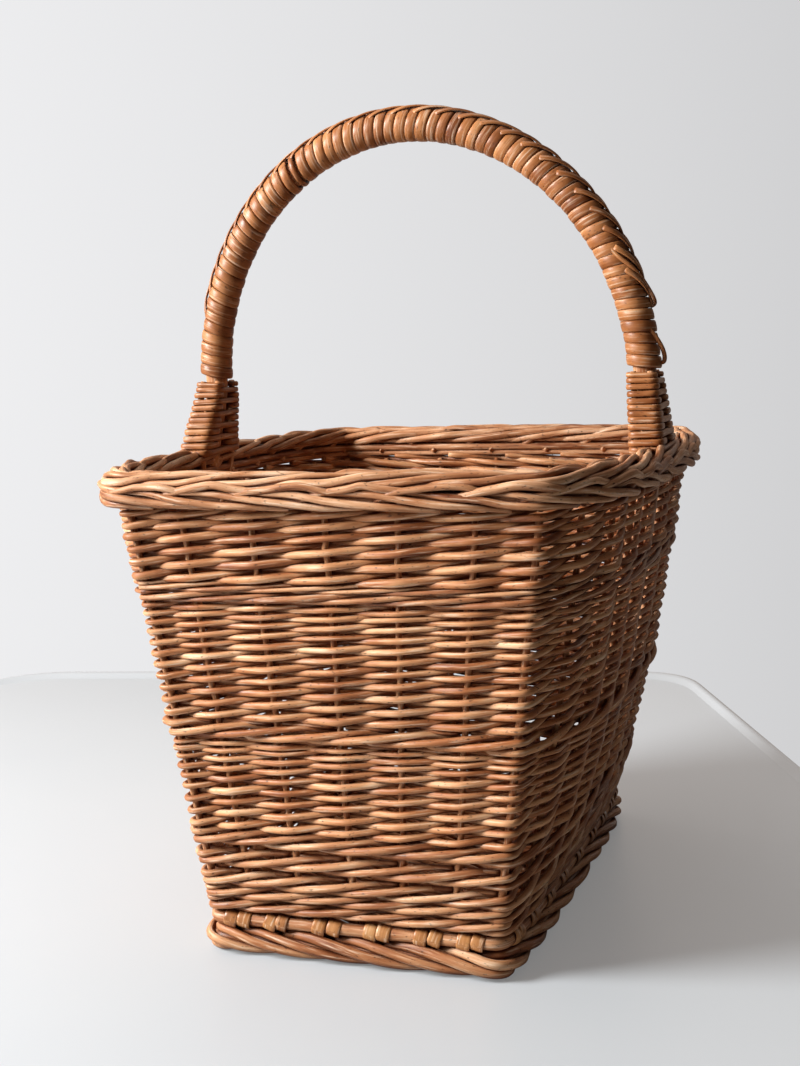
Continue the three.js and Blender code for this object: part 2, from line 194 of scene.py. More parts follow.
class Bundle:
    """Collects swept rods and turns them into one mesh object."""

    def __init__(self):
        self.verts, self.strand, self.tone = [], [], []
        self.quads, self.tris = [], []
        self.count = 0

    def sweep(self, paths, radius, sides=8, loop=False, up=None, across=None, tone=None, level=False,
              section=1.0):
        """Sweeps an ellipse along each path: radius is its half size towards up, across its other half size.
        level keeps up vertical; otherwise up is given for every point, or for the first, and is then carried
        along without twist. section under 1 squares the ellipse off, as on a flat strip. tone, 0 to 1, is how
        pale the rod is, drawn for each rod if not given."""
        paths = np.asarray(paths, float)
        if paths.ndim == 2:
            paths = paths[None]
        b, n, _ = paths.shape
        radius = np.broadcast_to(np.asarray(radius, float), (b, n))
        across = radius if across is None else np.broadcast_to(np.asarray(across, float), (b, n))
        if loop:
            tangent = unit(np.roll(paths, -1, 1) - np.roll(paths, 1, 1))
        else:
            tangent = unit(np.gradient(paths, axis=1))
        if level or (up is not None and np.ndim(up) == 3):
            guide = np.broadcast_to(np.array([0, 0, 1.0]) if level else up, paths.shape)
            normal = unit(guide - np.sum(guide * tangent, -1, keepdims=True) * tangent)
        else:
            start = np.array([0, 0, 1.0]) if up is None else np.asarray(up, float)
            normal = np.zeros_like(paths)
            current = np.broadcast_to(start, (b, 3))
            for k in range(n):
                t = tangent[:, k]
                current = unit(current - np.sum(current * t, -1, keepdims=True) * t)
                normal[:, k] = current
        side = np.cross(tangent, normal)
        angle = np.arange(sides) / sides * 2 * np.pi
        ca, sa = (np.sign(w) * np.abs(w) ** section for w in (np.cos(angle), np.sin(angle)))
        offset = (normal[:, :, None] * (radius[:, :, None] * ca)[..., None]
                  + side[:, :, None] * (across[:, :, None] * sa)[..., None])
        verts = (paths[:, :, None] + offset).reshape(-1, 3)
        step = np.linalg.norm(np.diff(paths, axis=1), axis=-1)
        along = np.concatenate([np.zeros((b, 1)), np.cumsum(step, 1)], 1)
        shift = rng.uniform(0, 4000, (b, 1, 1, 1))
        strand = np.broadcast_arrays(along[:, :, None], radius[:, :, None] * ca, across[:, :, None] * sa)
        strand = (np.stack(strand, -1) + shift).reshape(-1, 3)
        tone = rng.uniform(0, 1, b) if tone is None else np.broadcast_to(np.asarray(tone, float), b)
        tones = np.repeat(tone, n * sides)
        index = np.arange(b * n * sides).reshape(b, n, sides) + self.count
        around = np.roll(index, -1, 2)
        if loop:
            first, second = (index, around), (np.roll(index, -1, 1), np.roll(around, -1, 1))
            quads = np.stack([first[0], first[1], second[1], second[0]], -1)
        else:
            quads = np.stack([index[:, :-1], around[:, :-1], around[:, 1:], index[:, 1:]], -1)
        self.quads.append(quads.reshape(-1, 4))
        self.verts.append(verts)
        self.strand.append(strand)
        self.tone.append(tones)
        self.count += len(verts)
        if not loop:
            self.cap(paths, index, strand, tone, b, n, sides)

    def cap(self, paths, index, strand, tone, b, n, sides):
        """Closes both ends of each rod with a cut face."""
        ends = paths[:, [0, -1]].reshape(-1, 3)
        centre = np.arange(2 * b).reshape(b, 2) + self.count
        rows = strand.reshape(b, n, sides, 3)
        middle = rows[:, [0, -1]].mean(2).reshape(-1, 3)
        self.verts.append(ends)
        self.strand.append(middle)
        self.tone.append(np.repeat(tone, 2))
        self.count += 2 * b
        low, high = index[:, 0], index[:, -1]
        c0 = np.repeat(centre[:, :1], sides, 1)
        c1 = np.repeat(centre[:, 1:], sides, 1)
        self.tris.append(np.stack([c0, np.roll(low, -1, 1), low], -1).reshape(-1, 3))
        self.tris.append(np.stack([c1, high, np.roll(high, -1, 1)], -1).reshape(-1, 3))

    def build(self, name, material, slot, node):
        """Makes the mesh object, rides it on the basket's one body and lets it replace its CAD node."""
        verts = np.vstack(self.verts) * MM
        quads = np.vstack(self.quads)
        tris = np.vstack(self.tris) if self.tris else np.zeros((0, 3), int)
        mesh = bpy.data.meshes.new(name)
        mesh.vertices.add(len(verts))
        mesh.vertices.foreach_set("co", verts.astype(np.float32).ravel())
        loops = np.concatenate([quads.ravel(), tris.ravel()]).astype(np.int32)
        starts = np.concatenate([np.arange(len(quads)) * 4, len(quads) * 4 + np.arange(len(tris)) * 3])
        mesh.loops.add(len(loops))
        mesh.loops.foreach_set("vertex_index", loops)
        mesh.polygons.add(len(starts))
        mesh.polygons.foreach_set("loop_start", starts.astype(np.int32))
        smooth = np.concatenate([np.ones(len(quads), bool), np.zeros(len(tris), bool)])
        mesh.polygons.foreach_set("use_smooth", smooth)
        mesh.update(calc_edges=True)
        strand = mesh.attributes.new("strand", "FLOAT_VECTOR", "POINT")
        strand.data.foreach_set("vector", (np.vstack(self.strand) * MM).astype(np.float32).ravel())
        tone = mesh.attributes.new("tone", "FLOAT", "POINT")
        tone.data.foreach_set("value", np.concatenate(self.tone).astype(np.float32))
        mesh.materials.append(material)
        piece = bpy.data.objects.new(name, mesh)
        bpy.context.scene.collection.objects.link(piece)
        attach(piece, "root")
        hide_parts(node)


# -------- materials
class Graph:
    """Adds nodes to a material's or a world's tree. Any input may be a constant or another node's output."""

    def __init__(self, owner):
        owner.use_nodes = True
        self.tree = owner.node_tree

    def feed(self, node, inputs):
        """Sets or links a node's inputs, given by name or number."""
        for key, value in inputs.items():
            socket = node.inputs[key]
            if isinstance(value, bpy.types.NodeSocket):
                self.tree.links.new(value, socket)
            else:
                socket.default_value = (*value, 1) if socket.type == "RGBA" else value

    def add(self, kind, inputs=(), **settings):
        node = self.tree.nodes.new("ShaderNode" + kind)
        for name, value in settings.items():
            setattr(node, name, value)
        self.feed(node, dict(inputs))
        return node

    def ramp(self, factor, stops):
        """A colour ramp through the stops, each (place, colour)."""
        node = self.add("ValToRGB", {"Fac": factor})
        elements = node.color_ramp.elements
        elements.remove(elements[-1])
        elements[0].position = stops[0][0]
        elements[0].color = (*stops[0][1], 1)
        for place, color in stops[1:]:
            elements.new(place).color = (*color, 1)
        return node.outputs["Color"]

    def noise(self, vector, scale, detail=3.0, roughness=0.55):
        inputs = {"Scale": scale, "Detail": detail, "Roughness": roughness, "Vector": vector}
        return self.add("TexNoise", inputs).outputs["Fac"]

    def stretched_noise(self, vector, scales, detail, roughness=0.55):
        """Noise with a scale of its own along each axis."""
        stretched = self.add("Mapping", {"Scale": scales, "Vector": vector}).outputs["Vector"]
        return self.noise(stretched, 1.0, detail, roughness)

    def mix(self, mode, factor, a, b):
        return self.add("Mix", {0: factor, 6: a, 7: b}, data_type="RGBA", blend_type=mode).outputs[2]

    def span(self, value, low, high, to_low, to_high):
        """The value stretched so that low to high becomes to_low to to_high, and kept inside that."""
        inputs = {"From Min": low, "From Max": high, "To Min": to_low, "To Max": to_high, "Value": value}
        return self.add("MapRange", inputs).outputs["Result"]

    def math(self, operation, a, b):
        return self.add("Math", {0: a, 1: b}, operation=operation).outputs[0]


GREYED, SPOT = (0.23, 0.098, 0.044), (0.035, 0.014, 0.008)  # weathered patches, dark specks
PALE_RUB_AND_SHEEN, PAINTED_CREVICE_SHADE = (0.90, 0.74, 0.56), (0.19, 0.052, 0.022)  # pale streaks, partly rubbed skin and partly painted sheen; painted shade in the gaps
# Noise scales per metre, along a rod and in the two directions across it
STREAK_SCALE, BLOTCH_SCALE, SPECK_SCALE = (55, 900, 900), (28, 130, 130), (420, 900, 900)
PATCH_SCALE = 11.0
# What makes up a place on a rod's colour ramp
TONE_SHARE, BLOTCH_SHARE, STREAK_SHARE = 0.16, 0.62, 0.34
CREVICE_REACH = 0.008  # metres from a point to whatever shades it
COAT_ROUGHNESS = 0.22
RELIEF_DEPTH = 0.0004  # metres


def willow(name, tones, grey=GREYED, stain=SPOT, roughness=(0.36, 0.62), specular=0.28, bump=0.35, coat=0.0,
           painted_shade=0.85):
    """Rod skin: streaks, blotches, dark specks, greyed patches, pale streaks that are partly painted sheen,
    and painted shade where rods meet.
    """
    material = bpy.data.materials.new(name)
    graph = Graph(material)
    on_rod = graph.add("Attribute", attribute_name="strand").outputs["Vector"]
    tone = graph.add("Attribute", attribute_name="tone").outputs["Fac"]
    place = graph.add("TexCoord").outputs["Object"]
    streak = graph.stretched_noise(on_rod, STREAK_SCALE, 4.0)
    blotch = graph.stretched_noise(on_rod, BLOTCH_SCALE, 3.0)
    speck = graph.stretched_noise(on_rod, SPECK_SCALE, 2.0, 0.4)
    patch = graph.noise(place, PATCH_SCALE)
    base = graph.math("ADD", graph.math("MULTIPLY", tone, TONE_SHARE),
                      graph.math("MULTIPLY", blotch, BLOTCH_SHARE))
    base = graph.math("ADD", base, graph.math("MULTIPLY", streak, STREAK_SHARE))
    color = graph.ramp(graph.span(base, 0.335, 0.79, 0.0, 1.0), tones)
    color = graph.mix("MIX", graph.span(patch, 0.54, 0.74, 0.0, 0.35), color, grey)
    color = graph.mix("MIX", graph.span(speck, 0.64, 0.74, 0.0, 0.8), color, stain)
    # Pale streaks: partly rubbed skin, partly painted sheen standing in for highlights
    color = graph.mix("MIX", graph.span(streak, 0.55, 0.71, 0.0, 0.52), color, PALE_RUB_AND_SHEEN)
    # Painted shade: ambient occlusion darkens and reddens the colour where rods meet, broken up a little by
    # the blotches
    crevice = graph.add("AmbientOcclusion", {"Distance": CREVICE_REACH}, samples=4)
    open_air = graph.math("ADD", crevice.outputs["AO"], graph.math("MULTIPLY", blotch, 0.3))
    color = graph.mix("MULTIPLY", graph.span(open_air, 0.38, 0.85, painted_shade, 0.0), color, PAINTED_CREVICE_SHADE)
    gloss = graph.span(blotch, 0.3, 0.7, *roughness)
    relief = graph.add("Bump", {"Strength": bump, "Distance": RELIEF_DEPTH, "Height": streak})
    graph.feed(graph.tree.nodes["Principled BSDF"], {
        "Base Color": color, "Roughness": gloss, "Specular IOR Level": specular, "Coat Weight": coat,
        "Coat Roughness": COAT_ROUGHNESS, "Normal": relief.outputs["Normal"]})
    return material


# Colour ramps, each from its darkest streaks to its palest
TAN = [(0.0, (0.17, 0.042, 0.011)), (0.35, (0.41, 0.150, 0.053)), (0.65, (0.62, 0.300, 0.135)),
       (1.0, (0.84, 0.56, 0.34))]
BROWN = [(0.0, (0.15, 0.038, 0.011)), (0.35, (0.38, 0.145, 0.056)), (0.65, (0.58, 0.290, 0.138)),
         (1.0, (0.80, 0.53, 0.33))]
# A paler ramp, used for the border strands
PALER_BORDER_TONES = [(0.0, (0.16, 0.042, 0.013)), (0.35, (0.44, 0.188, 0.080)), (0.65, (0.67, 0.365, 0.195)),
        (1.0, (0.88, 0.64, 0.45))]
ORANGE = [(0.0, (0.19, 0.062, 0.017)), (0.4, (0.40, 0.158, 0.047)), (0.75, (0.57, 0.265, 0.092)),
          (1.0, (0.70, 0.39, 0.17))]
AMBER = [(0.0, (0.16, 0.043, 0.011)), (0.4, (0.34, 0.118, 0.034)), (0.75, (0.50, 0.205, 0.070)),
         (1.0, (0.64, 0.32, 0.13))]

WEAVE = willow("woven_willow_skin", TAN)
THICK = willow("thick_willow_skin", BROWN)
RIM = willow("rim_willow_skin", PALER_BORDER_TONES)
# The uprights get less of the painted shade where rods meet
ROD = willow("willow_rod_skin", TAN, painted_shade=0.35)
LAPPING = willow("gusset_skein_skin", AMBER, roughness=(0.34, 0.52), specular=0.4, bump=0.25)
CANE = willow("golden_cane_skin", ORANGE, grey=(0.34, 0.16, 0.06), stain=(0.10, 0.04, 0.015),
              roughness=(0.32, 0.5), specular=0.45, bump=0.22, coat=0.08)
HANDLE_CANE = willow("handle_cane_skin", AMBER, grey=(0.24, 0.10, 0.04), stain=(0.07, 0.026, 0.01),
                     roughness=(0.34, 0.54), specular=0.4, bump=0.25, coat=0.05)


# -------- weaving
def knots(low, high, spread, size):
    """Smooth random wander along stake numbers low to high: one random value every half stake."""
    places = np.arange(math.floor(low) - 1, math.ceil(high) + 2, 0.5)
    values = rng.normal(0, spread, (size, len(places)))
    return lambda u: np.array([np.interp(row, places, value) for row, value in zip(u, values)])


PER_STAKE = 18  # points along a woven rod in one stake gap
WEAVE_CLIMB = 0.06  # how far a rod rises above a straight climb as it passes behind a stake, in rows
STRAIGHTNESS = 0.95  # towards 1, a rod runs straighter from behind one stake to the front of the next
FAR_SIDE_SWELL = 0.22  # the back end and the left side are woven of slightly thicker rods


def french_rand(rows_z, butt_r, tip_r):
    """Thirty rods, one starting behind each stake, each in front of one stake and behind the next, climbing
    one row in two stakes. rows_z are the heights where rods cross in front of the stakes."""
    bundle = Bundle()
    count = len(rows_z)
    start, end = -0.22, 1 + 2 * (count - 1) + 0.82
    local = np.linspace(start, end, int((end - start) * PER_STAKE))
    own_stake = np.arange(STAKES)[:, None]
    u = gather(local[None] + own_stake)
    local = u - own_stake
    row = (local - 1) / 2
    index = np.arange(-1, count + 1)
    heights = np.interp(index, np.arange(count), rows_z)
    heights[0] = 2 * rows_z[0] - rows_z[1]
    heights[-1] = 2 * rows_z[-1] - rows_z[-2]
    base = np.interp(row, index, heights)
    pitch = np.interp(row, index[:-1] + 0.5, np.diff(heights))
    share = row - np.floor(row)
    z = base + WEAVE_CLIMB * pitch * (1 - np.abs(2 * share - 1))
    z = z + knots(start, STAKES + end, 0.22, STAKES)(u) + rng.normal(0, 0.2, (STAKES, 1))
    length = (local - start) / (end - start)
    radius = butt_r + (tip_r - butt_r) * np.maximum(length, 0) ** 0.9
    radius = radius * rng.normal(1, 0.06, (STAKES, 1)) * (1 + knots(start, STAKES + end, 0.03, STAKES)(u))
    radius = radius * np.clip((1.02 - length) / 0.03, 0.35, 1) * (1 + FAR_SIDE_SWELL * far_side(u))
    clear = post_radius(u) + radius
    wave = np.arcsin(STRAIGHTNESS * np.cos(np.pi * (local - 1))) / math.asin(STRAIGHTNESS)
    out = clear * wave + knots(start, STAKES + end, 0.12, STAKES)(u)
    bundle.sweep(wall(u, z, out, WEAVE_PLAN), radius, level=True)
    return bundle


def soften(rows, half):
    """Each closed row averaged over a window of 2 half + 1 points."""
    return sum(np.roll(rows, k, 1) for k in range(-half, half + 1)) / (2 * half + 1)


# A wale stroke's shape over three stakes, from behind one stake over the next two: heights are in steps
# between its first and second crossing
STROKE_AT = [0.0, 0.5, 1.0, 2.0, 2.5, 3.0]
STROKE_Z = [0.55, -0.24, 0.0, 1.0, 1.4, 0.55]


def wale_round(bundle, z0, step, rod_r):
    """One round of three-rod waling: each rod goes in front of two stakes and behind one. z0 is the height
    of a stroke's first crossing, and step how far it climbs to its second."""
    count = STAKES * PER_STAKE
    base = gather(np.arange(count) / PER_STAKE)
    u = np.broadcast_to(base, (3, count))
    phase = np.stack([(base - j) % 3 for j in range(3)])
    z = np.interp(phase, STROKE_AT, STROKE_Z) * step + z0
    window = int(PER_STAKE * 0.12)
    z = soften(z, window)
    strokes = np.floor((base[None] - np.arange(3)[:, None]) / 3).astype(int) % 10
    thick = np.take_along_axis(rng.normal(1, 0.07, (3, 10)), strokes, 1)
    drift = np.take_along_axis(rng.normal(0, 0.3, (3, 10)), strokes, 1)
    radius = rod_r * soften(thick, 5) * (1 + FAR_SIDE_SWELL * far_side(u))
    z = z + soften(drift, 5)
    clear = post_radius(u) + radius
    front = clear / math.sin(math.pi / 4) * np.sin(np.pi * (phase - 0.5) / 2)
    behind = -clear * np.sin(np.pi * np.clip(np.where(phase < 0.5, phase + 0.5, phase - 2.5), 0, 1))
    out = soften(np.where((phase >= 0.5) & (phase <= 2.5), front, behind), 1)
    bundle.sweep(wall(u, z, out, WEAVE_PLAN), radius, loop=True, level=True)


def taper_rows(first, last, count, power):
    """Row heights that draw closer together upwards."""
    x = np.arange(count) / (count - 1)
    return first + (last - first) * (1 - (1 - x) ** power)


CLOSING_MARGIN = 3.4  # millimetres from an upright's centre to the end of a closing rod
GAP_MEASURED_Z = 120  # where the gaps between the uprights are measured


def add_closing_rods(bundle, rings):
    """Short dark rods between the uprights, at these heights and radii, that close the slits where one weave
    ends and the next begins; their darkest tone is painted shade in the slits."""
    for number in range(STAKES):
        ends = wall(np.array([number, number + 1.0]), GAP_MEASURED_Z, 0, WEAVE_PLAN)
        margin = CLOSING_MARGIN / np.linalg.norm(ends[1] - ends[0])
        u = number + np.linspace(margin, 1 - margin, 8)
        for z, r in rings:
            # Darkest tone: painted shade in the slits
            bundle.sweep(wall(u, z, 0, WEAVE_PLAN), r, level=True, tone=0.0)


# Waling: its rounds, each (height, climb between a stroke's crossings, rod radius), and its closing rods,
# each (height, radius)
UPSETT = ([(26.2, 3.7, 2.0), (33.3, 3.6, 1.85), (40.2, 4.6, 2.05), (52.4, 4.6, 2.05), (64.7, 4.5, 2.0)],
          [(46.8, 1.4), (58.9, 1.4), (71.2, 1.6)])
LOWER_WALE = [(126.9, 4.5, 2.05)], [(124.2, 1.4), (134.4, 1.6)]
UPPER_WALE = [(202.3, 3.1, 1.5), (207.9, 2.5, 1.2)], [(200.3, 1.2), (211.6, 1.4)]
# Slanting weaves: (lowest row, highest row, number of rows, how they draw closer), (butt radius, tip radius)
LOWER_WEAVE = (74.4, 121.4, 9, 1.22), (2.05, 1.4)
MIDDLE_WEAVE = (138, 198, 11, 1.15), (2.1, 1.45)
UPPER_WEAVE = (214.2, 248.4, 6, 1.1), (2.3, 1.8)


def build_waling(name, material, slot, node, rounds, closing):
    """Rounds of waling, and the closing rods that go with them, as one piece."""
    bundle = Bundle()
    for z0, step, r in rounds:
        wale_round(bundle, z0, step, r)
    add_closing_rods(bundle, closing)
    bundle.build(name, material, slot, node)


def build_weave(name, node, weave):
    """One section of slanting weave as one piece."""
    rows, radii = weave
    french_rand(taper_rows(*rows), *radii).build(name, WEAVE, "woven_willow", node)


def build_wall():
    build_waling("upsett_rods", THICK, "woven_willow", "upsett_wale", *UPSETT)
    build_weave("lower_rods", "lower_weave", LOWER_WEAVE)
    build_waling("lower_wale_rods", WEAVE, "thick_willow", "lower_wale", *LOWER_WALE)
    build_weave("middle_rods", "middle_weave", MIDDLE_WEAVE)
    build_waling("upper_wale_rods", THICK, "thick_willow", "upper_wale", *UPPER_WALE)
    build_weave("upper_rods", "upper_weave", UPPER_WEAVE)


STAKE_FOOT_Z, STAKE_TIP_Z = 16.6, 248.8
TUCK_DEPTH = 3  # how far the uprights stand inside the wall's centreline at the base stick
TUCK_TOP_Z, WALL_STARTS_Z = 23, 34  # the uprights come out to the centreline between these heights
# How much of their room they fill low down, and how much less high up
UPRIGHT_FULLNESS, UPRIGHT_TAPER = 0.99, 0.10
STAKE_SWAY = 0.012  # how unevenly a stake stands, in stake gaps


def upright_names():
    """The uprights' CAD nodes, by stake number."""
    runs = (("front_left", "front", range(1, 6)), ("front_right", "right", range(1, 9)),
            ("back_right", "back", range(5, 0, -1)), ("back_left", "left", range(8, 0, -1)))
    return [name for corner, side, numbers in runs
            for name in [f"corner_post_{corner}"] + [f"stake_{side}_{k}" for k in numbers]]


def build_stakes():
    z = np.concatenate([np.linspace(STAKE_FOOT_Z, WALL_STARTS_Z, 10), np.linspace(38, STAKE_TIP_Z, 60)])
    tuck = -TUCK_DEPTH * (1 - np.clip((z - TUCK_TOP_Z) / (WALL_STARTS_Z - TUCK_TOP_Z), 0, 1))
    fullness = UPRIGHT_FULLNESS - UPRIGHT_TAPER * (z - 5) / 251
    for number, node in enumerate(upright_names()):
        bundle = Bundle()
        corner = number in CORNERS
        sway = knots(-1, 40, STAKE_SWAY, 1)(z[None] / 10)[0] * (not corner)
        r = (POST_R if corner else STAKE_R) * fullness
        path = wall(number + sway, z, tuck, WEAVE_PLAN)
        bundle.sweep(path, r, 10, up=(1, 0, 0.001), tone=rng.uniform(0.25, 0.8))
        bundle.build(node + "_rod", ROD, "willow_rod", node)


# -------- foot, base stick and floor
FOOT_CENTRE_OUT, FOOT_CENTRE_Z = 2.4, 7.6
FOOT_REACH_OUT, FOOT_REACH_Z = 5.2, 4.9
FOOT_STRAND_R = 2.7
FOOT_TURN = 78  # degrees a strand rolls round the foot in one stake gap
FOOT_FROM, FOOT_LENGTH = -0.35, 3.45  # where a strand starts and how far it goes, in stake gaps
FOOT_CORE_R = 3.2
# A second plain rod, behind the strands, closes the gap under the base stick
FOOT_CORE_OUT, FOOT_CORE_Z = -2.2, 12.4


def build_foot():
    """A roped border: a strand from each upright, rolling round a plain rod."""
    bundle = Bundle()
    local = np.linspace(FOOT_FROM, 3.1, 60)
    for number in range(STAKES):
        turn = np.radians(90 - FOOT_TURN * local + rng.normal(0, 3))
        swell = rng.normal(1, 0.05)
        u = number + local + rng.normal(0, 0.04)
        out = FOOT_CENTRE_OUT + FOOT_REACH_OUT * np.cos(turn)
        z = FOOT_CENTRE_Z + FOOT_REACH_Z * np.sin(turn)
        r = FOOT_STRAND_R * swell * (1 - 0.12 * (local - FOOT_FROM) / FOOT_LENGTH)
        bundle.sweep(wall(u, np.maximum(z, r + 0.1), out), r, 10)
    core = np.arange(STAKES * 8) / 8
    bundle.sweep(wall(core, FOOT_CENTRE_Z, FOOT_CENTRE_OUT), FOOT_CORE_R, loop=True, level=True, tone=0.1)
    # Darkest tone: painted shade in the gap under the base stick
    bundle.sweep(wall(core, FOOT_CORE_Z, FOOT_CORE_OUT), FOOT_CORE_R, loop=True, level=True, tone=0.0)
    bundle.build("foot_strands", THICK, "thick_willow", "foot_border")


BASE_STICK_OUT, BASE_STICK_Z, BASE_STICK_R = 2.6, 18.9, 3.5
BAND_R = 4.2  # from the base stick's centre to the middle of a cane band
BAND_HALF_WIDTH, BAND_HALF_THICKNESS = 3.85, 0.55
BAND_ASIDE, BAND_LEAN = 3.9, 1.1  # from the middle of a pair to each band, and how far a band leans, in mm


def pair_place(gap):
    """Where a gap's pair of cane bands sits: at its middle, but clear of a corner post."""
    if gap in CORNERS:
        return 0.60
    return 0.40 if gap + 1 in CORNERS or gap == STAKES - 1 else 0.5


def build_base_stick():
    """The thick stick round the base, and the pairs of cane bands that lap it."""
    stick = Bundle()
    u = np.arange(STAKES * 12) / 12
    swell = 1 + 0.03 * np.sin(u * 2.1) + 0.02 * np.sin(u * 5.3 + 1)
    path = wall(u, BASE_STICK_Z, BASE_STICK_OUT)
    stick.sweep(path, BASE_STICK_R * swell, 14, loop=True, level=True, tone=0.45)
    stick.build("base_stick_rod", THICK, "thick_willow", "base_stick")
    bands = Bundle()
    angle = np.arange(28) / 28 * 2 * np.pi
    for gap in range(STAKES):
        middle = wall(np.array([gap, gap + 1.0]), BASE_STICK_Z, BASE_STICK_OUT)
        span = np.linalg.norm(middle[1] - middle[0])
        for side in (-1, 1):
            at = gap + pair_place(gap) + side * BAND_ASIDE / span + rng.normal(0, 0.012)
            lean = (BAND_LEAN + rng.normal(0, 0.35)) * np.sin(angle) / span
            r = BAND_R + rng.normal(0, 0.12)
            path = wall(at + lean, BASE_STICK_Z + r * np.sin(angle), BASE_STICK_OUT + r * np.cos(angle))
            hub = wall(np.full_like(angle, at), BASE_STICK_Z, BASE_STICK_OUT)
            half_width = BAND_HALF_WIDTH + rng.normal(0, 0.15)
            bands.sweep(path, BAND_HALF_THICKNESS, 12, loop=True, up=unit(path - hub)[None],
                        across=half_width, section=0.6)
    bands.build("base_cane_bands", CANE, "golden_cane", "cane_lapping")


FLOOR_Z = 19.75
FLOOR_STICK_GAP = 30
FLOOR_STICKS = [FLOOR_STICK_GAP * k for k in range(-2, 3)]
FLOOR_STICK_R, FLOOR_STICK_HALF = 2.0, 137.5
FLOOR_HALF_Y, FLOOR_PITCH = 139, 3.7
FLOOR_ROD_R = 1.85
FLOOR_ROD_RISE = 4.1  # how far a rod's centre passes over or under a stick's
# Where the rods end, from the wall's centreline: inside nearly all the uprights, but short of the foot
# border, so a slit shows from above
FLOOR_EDGE_OUT = -7.1


def build_floor():
    """Sticks along the basket, and rods woven over and under them from side to side."""
    for number, x in enumerate(FLOOR_STICKS):
        stick = Bundle()
        y = np.linspace(-FLOOR_STICK_HALF, FLOOR_STICK_HALF, 40)
        path = np.stack([x + 0.6 * np.sin(y / 30 + number), y, np.full_like(y, FLOOR_Z)], -1)
        stick.sweep(path, FLOOR_STICK_R, 10)
        stick.build(f"floor_stick_rod_{number + 1}", ROD, "willow_rod", f"floor_stick_{number + 1}")
    panel = Bundle()
    count = int(2 * FLOOR_HALF_Y / FLOOR_PITCH)
    right_side = np.linspace(FRONT_RIGHT, BACK_RIGHT, 400)
    edge = wall(right_side, BASE_Z, FLOOR_EDGE_OUT)
    for k in range(count):
        y = -FLOOR_HALF_Y + 2 * FLOOR_HALF_Y * (k + 0.5) / count
        reach = np.interp(y, edge[:, 1], edge[:, 0])
        x = np.linspace(-reach, reach, 64)
        phase = np.cos(np.pi * x / FLOOR_STICK_GAP) * (1 if k % 2 else -1)
        z = FLOOR_Z + FLOOR_ROD_RISE * phase + rng.normal(0, 0.08)
        r = FLOOR_ROD_R * rng.normal(1, 0.05)
        path = np.stack([x, np.full_like(x, y) + 0.3 * np.sin(x / 23 + k), z], -1)
        panel.sweep(path, r)
    panel.build("floor_rods", WEAVE, "woven_willow", "floor_weave")


# -------- plaited border
# Each strand's route: [stake number from the strand's own stake, outset, height, rod radius]
TOP_STRAND = [
    [0.00, 0.0, 251.0, 1.7], [0.00, 0.8, 257.0, 1.8], [0.02, 0.4, 264.4, 2.0], [0.12, -1.0, 268.4, 2.15],
    [0.35, -1.8, 269.6, 2.2], [0.70, -1.8, 269.6, 2.2], [1.00, -2.2, 268.4, 2.2], [1.26, -2.6, 264.6, 2.15],
    [1.48, -1.2, 259.0, 2.15], [1.66, 4.5, 256.0, 2.15], [1.82, 9.2, 258.4, 2.15], [2.10, 11.0, 261.2, 2.2],
    [2.40, 11.5, 263.5, 2.25], [2.70, 11.5, 264.6, 2.25], [2.94, 11.3, 263.6, 2.25],
    [3.20, 10.2, 261.4, 2.2], [3.45, 9.4, 260.6, 2.15], [3.75, 10.6, 259.9, 2.15],
    [4.19, 12.2, 257.2, 2.15], [4.60, 12.0, 255.4, 2.15], [5.05, 10.6, 254.0, 2.05], [5.60, 5.6, 252.6, 1.8],
]
OVER_STRAND = [
    [-0.95, -3.0, 254.5, 2.0], [-0.75, 3.0, 258.0, 2.1], [-0.55, 7.4, 262.4, 2.15], [-0.32, 9.0, 265.0, 2.2],
    [0.15, 9.0, 266.4, 2.25], [0.56, 7.4, 268.0, 2.25], [0.90, 5.2, 269.2, 2.25], [1.25, 3.2, 269.7, 2.25],
    [1.62, 0.8, 269.2, 2.25], [2.00, -2.2, 268.2, 2.3], [2.50, -4.6, 266.6, 2.35], [2.95, -5.5, 264.8, 2.3],
    [3.35, -4.8, 263.2, 2.25], [3.72, -2.0, 262.0, 2.1], [4.05, 2.6, 261.4, 1.9],
]
# Rods that run round inside the plait: [outset, height, radius]
BORDER_CORE = [
    [-1.8, 257.0, 2.5], [3.2, 263.6, 2.5], [7.2, 258.6, 2.4], [2.0, 258.4, 2.6], [-0.4, 252.9, 2.1],
    [-2.0, 262.6, 2.4],
]


def build_border():
    """A plait of two strands from each upright, over plain rods that fill it."""
    bundle = Bundle()
    for strand in (TOP_STRAND, OVER_STRAND):
        for number in range(STAKES):
            shape = np.array(strand)
            shape[1:-1, 0] += rng.normal(0, 0.03, len(shape) - 2)
            shape[2:, 1:3] += rng.normal(0, 0.36, (len(shape) - 2, 2))
            shape[:, 3] *= rng.normal(0.95, 0.09)
            line = smooth_path(shape, 7)
            bundle.sweep(wall(number + line[:, 0], line[:, 2], line[:, 1]), line[:, 3], 9)
    ring = np.arange(STAKES * 8) / 8
    for outset, height, r in BORDER_CORE:
        # Near-darkest tone: painted shade in the gaps between the plait's strands
        bundle.sweep(wall(ring, height, outset), r, loop=True, level=True, tone=0.05)
    bundle.build("border_strands", RIM, "thick_willow", "rim_border")


# -------- handle
SHOULDER_X, SHOULDER_Z, BOW_TOP_Z = 136.6, 310, 462
BOW_LEAN, LEFT_FLARE = -4.6, 3.5


def smoothstep(x, low, high):
    """0 up to low and 1 from high on, with an eased rise between."""
    t = np.clip((x - low) / (high - low), 0, 1)
    return t * t * (3 - 2 * t)


